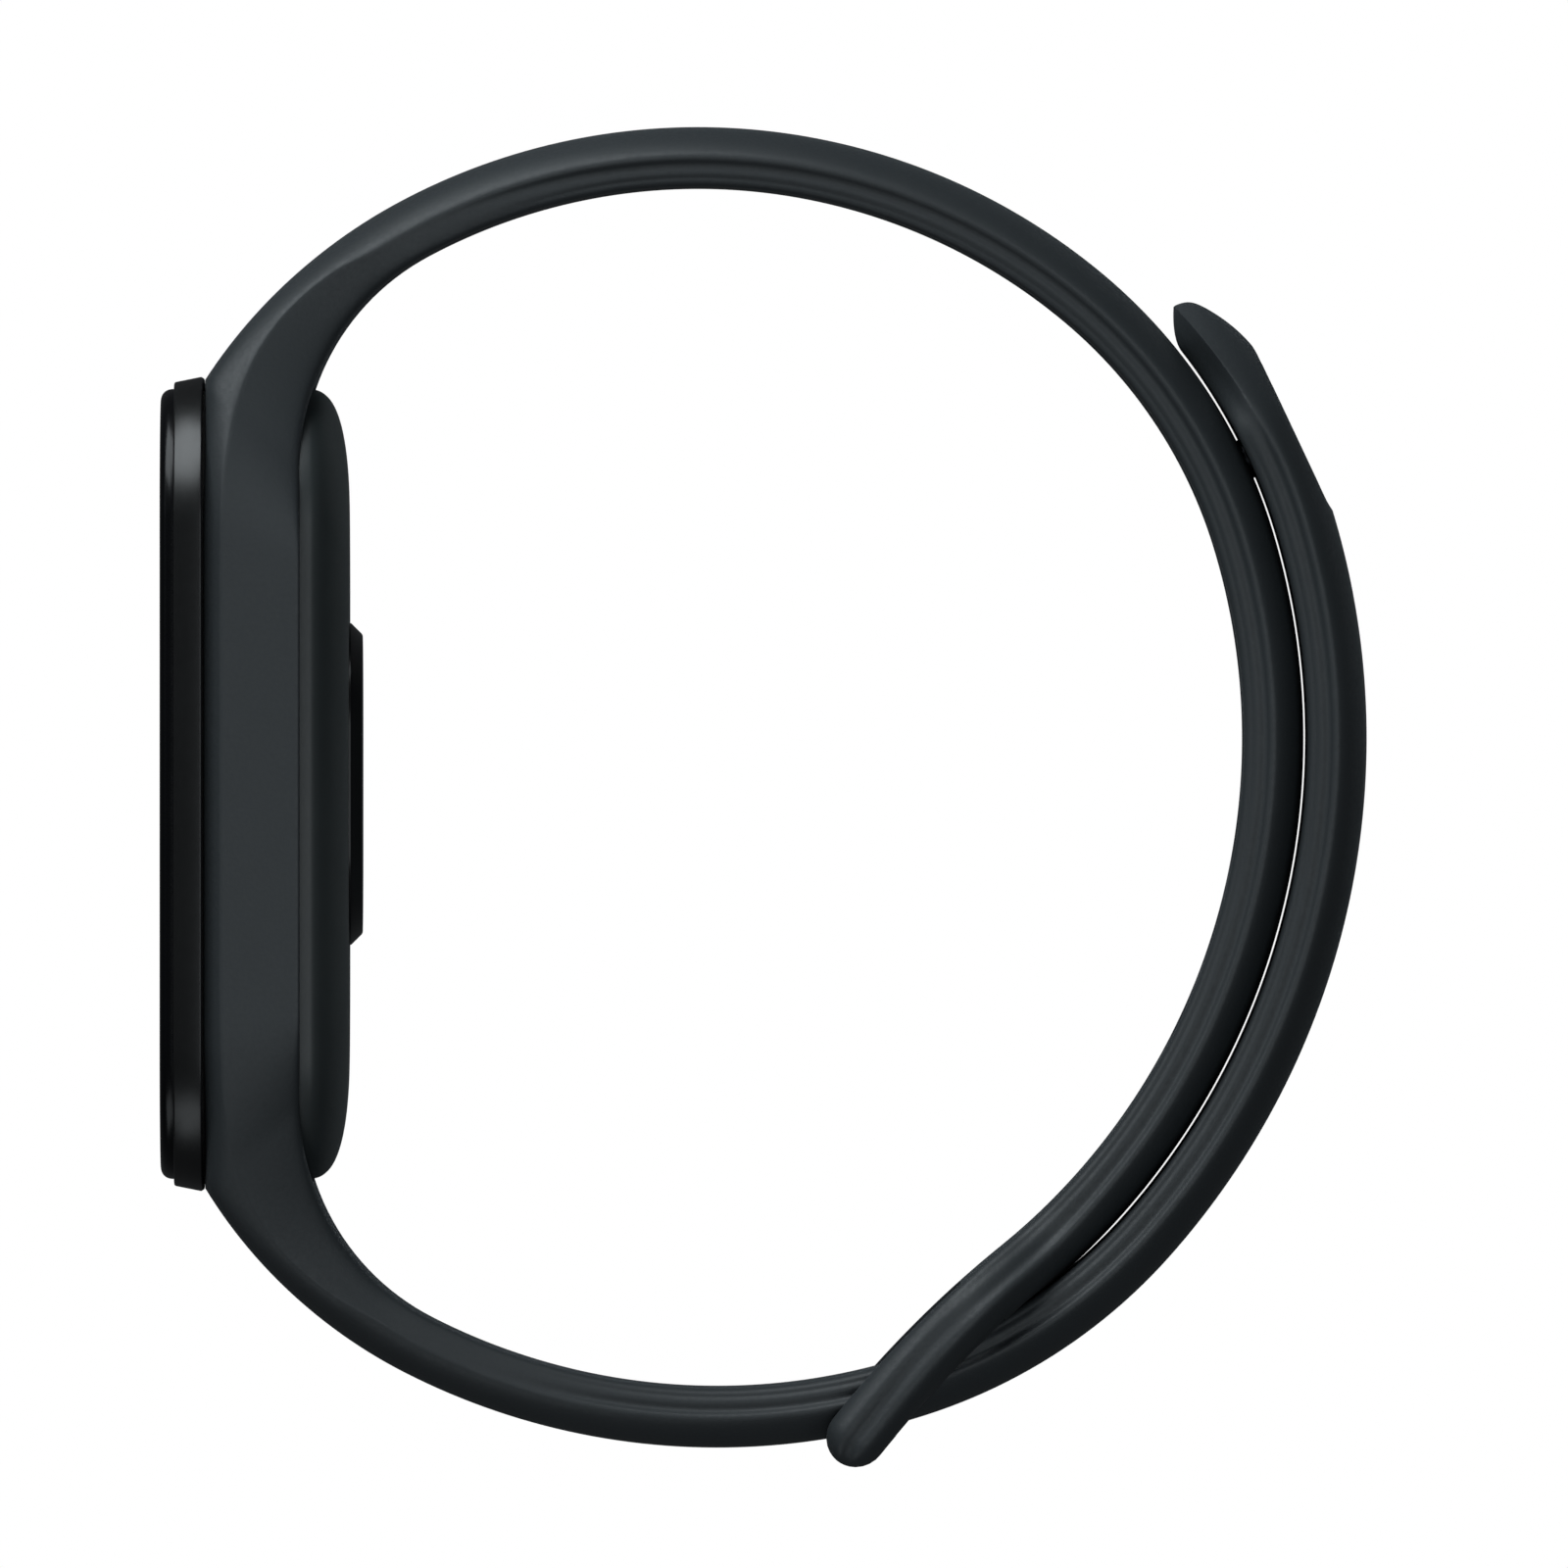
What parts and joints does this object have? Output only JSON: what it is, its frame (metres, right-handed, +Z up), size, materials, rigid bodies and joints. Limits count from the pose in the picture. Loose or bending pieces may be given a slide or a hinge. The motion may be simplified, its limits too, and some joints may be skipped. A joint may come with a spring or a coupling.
{
  "type": "fitness tracker band",
  "caption": "Slim display capsule in a soft cradle, on a loop-through wrist strap with a peg that snaps into a row of holes.",
  "frame": {"origin": "middle of the wrist opening, on the forearm's axis", "axes": "+Z up the display's long side, +Y along the forearm, the display looks along -X"},
  "size_m": [0.0627, 0.0254, 0.0695],
  "materials": {
    "strap_rubber": "matt",
    "black_plastic": "gloss",
    "satin_plastic": "satin",
    "cover_glass": "polished",
    "adhesive": "soft",
    "display": "polished",
    "backlight": "satin",
    "flex": "satin",
    "foil": "satin",
    "board": "satin",
    "chip": "matt",
    "tinned_steel": "satin",
    "gold": "polished",
    "wire": "soft",
    "tungsten": "satin",
    "led": "clear"
  },
  "bodies": {
    "band": {"cradle": "strap_rubber", "upper_strap": "strap_rubber", "lower_strap": "strap_rubber"},
    "tail": {"strap_tail": "strap_rubber", "snap_peg": "satin_plastic"},
    "tracker": {"cover_glass": "cover_glass", "glass_adhesive": "adhesive", "bezel_frame": "black_plastic", "display_panel": "display", "display_backlight": "backlight", "display_flex": "flex", "inner_frame": "satin_plastic", "battery_tape": "adhesive", "battery_cell": "foil", "battery_board": "board", "battery_leads": "wire", "motor_case": "tinned_steel", "motor_cap": "tinned_steel", "motor_magnet": "tungsten", "motor_shaft": "tinned_steel", "motor_leads": "wire", "main_board": "board", "processor_chip": "chip", "flash_chip": "chip", "power_chip": "chip", "motion_sensor": "chip", "crystals": "tinned_steel", "shield_can": "tinned_steel", "antenna": "gold", "sensor_board": "board", "sensor_flex": "flex", "green_leds": "led", "photodiodes": "chip", "light_barrier": "satin_plastic", "sensor_window": "black_plastic", "shell_seal": "adhesive", "back_shell": "satin_plastic", "charge_contacts": "gold", "contact_springs": "gold"},
    "rotor": {"motor_rotor": "tungsten"}
  },
  "joints": [
    {"name": "tail_peel", "type": "hinge", "parent": "band", "child": "tail", "pos_m": [0.02837, 0, 0.0085], "axis": [0, 1, 0], "range_deg": [0, 40], "stiffness_Nm_per_rad": 0.0012},
    {"name": "capsule_release", "type": "slide", "parent": "band", "child": "tracker", "axis": [-1, 0, 0], "range_m": [0, 0.012]},
    {"name": "motor_spin", "type": "hinge", "parent": "tracker", "child": "rotor", "pos_m": [-0.028, 0, -0.0147], "axis": [1, 0, 0], "continuous": true}
  ]
}
